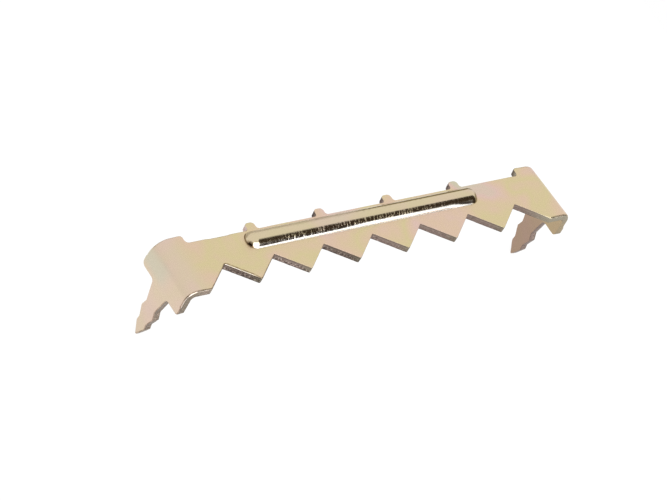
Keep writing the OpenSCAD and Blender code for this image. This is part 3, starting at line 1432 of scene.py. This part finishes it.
@dataclass
class Strap:
    """The flat of the hanger: its web, teeth and nibs."""

    blank: SheetBlank

    def build(self, bench: Bench) -> None:
        """Cuts the strap's pieces from the blank.

        Args:
            bench: Where the pieces are set out.
        """
        blank = self.blank
        reach = 2 * blank.ear_y
        web = span(AXIS_X, -blank.web_x, blank.web_x) + span(AXIS_Y, blank.tooth_base_y, blank.nib_base_y)
        bench.set_out(blank.cut_out(web), "strap_web", Slot.PLATE)
        for i in range(blank.tooth_count):
            x = i * blank.tooth_pitch - blank.web_x
            cuts = span(AXIS_X, x, x + blank.tooth_pitch) + span(AXIS_Y, -reach, blank.tooth_base_y)
            bench.set_out(blank.cut_out(cuts), f"tooth_{i + 1}", Slot.PLATE)
        for i, x in enumerate(blank.nib_xs, start=1):
            cuts = span(AXIS_X, x - blank.nib_w, x + blank.nib_w) + span(AXIS_Y, blank.nib_base_y, reach)
            bench.set_out(blank.cut_out(cuts), f"nib_{i}", Slot.PLATE)


@dataclass
class End:
    """One end of the hanger: its pad, bend, shoulder and prong."""

    blank: SheetBlank
    side: Side

    def build(self, bench: Bench) -> None:
        """Cuts the end's pieces from the blank and folds them.

        Args:
            bench: Where the pieces are set out.
        """
        blank = self.blank
        sign = self.side.value
        limits = (
            blank.web_x,
            blank.flat_x,
            blank.flat_x + blank.bend_length,
            blank.unfolded_x(blank.prong_top_z),
            blank.unfolded_x(-2 * blank.prong_l),
        )
        for name, start, stop in zip(("end_pad", "bend", "shoulder", "prong"), limits, limits[1:]):
            low, high = sorted((sign * start, sign * stop))
            piece = blank.cut_out(span(AXIS_X, low, high))
            blank.fold(piece)
            bench.set_out(piece, f"{self.side.name.lower()}_{name}", Slot.PLATE)


@dataclass(frozen=True)
class Flag:
    """A darker patch of the tent, between two azimuths and two elevations in degrees."""

    azimuth: Limits
    elevation: Limits
    colour: Colour
    soft: float = 5.0


@dataclass(frozen=True)
class Softbox:
    """A soft rectangular lamp that faces the object, with its place in degrees and metres.

    Its glow is how bright its face is, where the tent is 1. LAMP_WATTS is for a square metre at that glow.
    """

    name: str
    azimuth: float
    elevation: float
    distance: float
    width: float
    height: float
    glow: float

    @property
    def power(self) -> float:
        """Power of the lamp in watts."""
        return LAMP_WATTS * self.glow * self.width * self.height


@dataclass
class Studio:
    """Floor, light and camera."""

    floor_z: float
    floor_size: float = 0.16
    floor_colour: Colour = (0.82, 0.82, 0.82)
    glow: float = 0.9
    shade: float = 0.14
    sky: float = 1.0
    flags: tuple[Flag, ...] = (
        Flag((36.0, 122.0), (-25.0, 9.0), (0.24, 0.21, 0.12), 12.0),
        Flag((-20.0, 12.0), (-25.0, 12.0), (0.5, 0.5, 0.44), 6.0),
        Flag((-178.0, -132.0), (-5.0, 40.0), (0.45, 0.44, 0.42), 6.0),
        Flag((-105.0, -78.0), (50.0, 60.0), (0.6, 0.58, 0.55), 6.0),
        Flag((-56.0, -14.0), (19.0, 51.0), DEEP_BLACK, 5.0),
        Flag((-48.0, -18.0), (-9.0, 30.0), DEEP_BLACK, 5.0),
        Flag((-176.0, -132.0), (-5.0, 17.0), DEEP_BLACK, 5.0),
    )
    softboxes: tuple[Softbox, ...] = (
        Softbox("low_strip", -62.0, 2.0, 0.7, 0.3, 0.28, 1.7),
        Softbox("front_softbox", -95.0, 22.0, 0.7, 0.86, 0.62, 2.0),
    )
    view_azimuth: float = -53.8767
    view_elevation: float = 41.3905
    view_roll: float = 30.4176
    view_distance: float = 0.743717
    view_pan: tuple[float, float] = (-0.0028045, -0.0001865)
    focal_pixels: float = 5772.59
    photo_width: float = 667.0
    sensor_width: float = 36.0
    clip_near: float = 0.01
    clip_far: float = 10.0

    def build(self) -> None:
        """Sets up the whole studio."""
        self._lay_floor()
        self._light_world()
        for softbox in self.softboxes:
            self._hang(softbox)
        self._place_camera()
        bpy.context.scene.view_settings.view_transform = "Standard"

    def _seen_directly(self, graph: Graph) -> Socket:
        """Gives 1 for rays that show the surface itself or its mirror image."""
        path = graph.node("ShaderNodeLightPath").outputs
        seen = graph.math("MAXIMUM", path["Is Camera Ray"], path["Is Glossy Ray"])
        return graph.math("MAXIMUM", seen, path["Is Transmission Ray"])

    def _lay_floor(self) -> None:
        """Lays a pale floor under the prongs."""
        bm = bmesh.new()
        bmesh.ops.create_grid(
            bm,
            x_segments=1,
            y_segments=1,
            size=self.floor_size / 2,
            matrix=Matrix.Translation(AXIS_Z * self.floor_z),
        )
        data = bpy.data.meshes.new("floor")
        bm.to_mesh(data)
        bm.free()
        material = new_material("pale_floor")
        graph = Graph(material.node_tree)
        lit = graph.node("ShaderNodeBsdfDiffuse", {"Color": (*self.floor_colour, 1.0)})
        shaded = graph.node("ShaderNodeBsdfDiffuse", {"Color": (self.shade, self.shade, self.shade, 1.0)})
        glow = graph.node("ShaderNodeEmission", {"Strength": self.glow})
        white = graph.node("ShaderNodeAddShader", {0: glow.outputs[0], 1: shaded.outputs[0]})
        mixed = graph.node(
            "ShaderNodeMixShader", {0: self._seen_directly(graph), 1: lit.outputs[0], 2: white.outputs[0]}
        )
        graph.node("ShaderNodeOutputMaterial", {"Surface": mixed.outputs[0]})
        data.materials.append(material)
        floor = bpy.data.objects.new("floor", data)
        bpy.context.scene.collection.objects.link(floor)
        floor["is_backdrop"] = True

    def _light_world(self) -> None:
        """Surrounds the object with an even white tent that has a few dark flags in it."""
        world = bpy.data.worlds.new("studio")
        bpy.context.scene.world = world
        world.use_nodes = True
        graph = Graph(world.node_tree)
        direction = graph.node("ShaderNodeTexCoord").outputs["Generated"]
        axes = graph.node("ShaderNodeSeparateXYZ", {0: direction}).outputs
        azimuth = graph.math("ARCTAN2", axes["Y"], axes["X"])
        elevation = graph.math("ARCSINE", axes["Z"])
        lit = graph.math("SUBTRACT", 1.0, graph.node("ShaderNodeLightPath").outputs["Is Camera Ray"])
        tent = (self.sky, self.sky, self.sky)
        for flag in self.flags:
            wide = self._window(graph, azimuth, flag.azimuth, flag.soft)
            high = self._window(graph, elevation, flag.elevation, flag.soft)
            tent = graph.blend(graph.product(lit, wide, high), tent, flag.colour)
        back = graph.node("ShaderNodeBackground", {"Color": tent, "Strength": 1.0})
        graph.node("ShaderNodeOutputWorld", {"Surface": back.outputs[0]})

    def _window(self, graph: Graph, angle: object, limits: Limits, soft: float) -> Socket:
        """Gives 1 between two angles, with soft ends.

        Args:
            graph: Node tree to add it to.
            angle: Socket of the angle in radians.
            limits: The two angles in degrees.
            soft: Width of each end in degrees.

        Returns:
            The socket.
        """
        low, high = (math.radians(x) for x in limits)
        edge = math.radians(soft) / 2
        return graph.between(angle, (low - edge, low + edge), (high - edge, high + edge))

    def _hang(self, softbox: Softbox) -> None:
        """Hangs a lamp in the tent.

        Args:
            softbox: The lamp.
        """
        lamp = bpy.data.lights.new(softbox.name, "AREA")
        lamp.shape = "RECTANGLE"
        lamp.size, lamp.size_y = softbox.width, softbox.height
        lamp.energy = softbox.power
        holder = bpy.data.objects.new(softbox.name, lamp)
        azimuth, elevation = math.radians(softbox.azimuth), math.radians(softbox.elevation)
        level = math.cos(elevation)
        back = Vector((math.cos(azimuth) * level, math.sin(azimuth) * level, math.sin(elevation)))
        holder.location = back * softbox.distance
        holder.rotation_mode = "QUATERNION"
        holder.rotation_quaternion = (-back).to_track_quat("-Z", "Y")
        holder.visible_camera = False
        bpy.context.scene.collection.objects.link(holder)

    def _place_camera(self) -> None:
        """Places the camera at the photograph's viewing angle."""
        azimuth, elevation = math.radians(self.view_azimuth), math.radians(self.view_elevation)
        level = math.cos(elevation)
        back = Vector((math.sin(azimuth) * level, -math.cos(azimuth) * level, math.sin(elevation)))
        turn = (-back).to_track_quat("-Z", "Y") @ Quaternion(AXIS_Z, math.radians(self.view_roll))
        pan = turn @ Vector((*self.view_pan, 0.0))
        data = bpy.data.cameras.new("camera")
        data.sensor_width = self.sensor_width
        data.lens = self.focal_pixels * self.sensor_width / self.photo_width
        data.clip_start, data.clip_end = self.clip_near, self.clip_far
        camera = bpy.data.objects.new("camera", data)
        camera.location = pan + back * self.view_distance
        camera.rotation_mode = "QUATERNION"
        camera.rotation_quaternion = turn
        bpy.context.scene.collection.objects.link(camera)
        bpy.context.scene.camera = camera


def main() -> None:
    """Builds the hanger and the studio round it."""
    logging.basicConfig(level=logging.INFO, format="%(name)s %(message)s")
    blank = SheetBlank.from_frame()
    rib = Rib.from_frame(blank)
    blank.build(rib)
    plate = ZincPlate()
    finishes = Finishes(
        plate=plate.build(),
        edge=ShearedEdge(blank.back_y, blank.tip_y, blank.flat_x).build(),
        rib=BurnishedRib(plate, rib.bead_axis_z + rib.bead_r, rib.top_z, rib.end_x, rib.middle_y).build(),
    )
    bench = Bench(finishes)
    Strap(blank).build(bench)
    bench.set_out(rib.build(), "stiffening_rib", Slot.RIB)
    for side in Side:
        End(blank, side).build(bench)
    blank.mesh.free()
    low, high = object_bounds()
    Studio(floor_z=low.z).build()


if __name__ == "__main__":
    main()
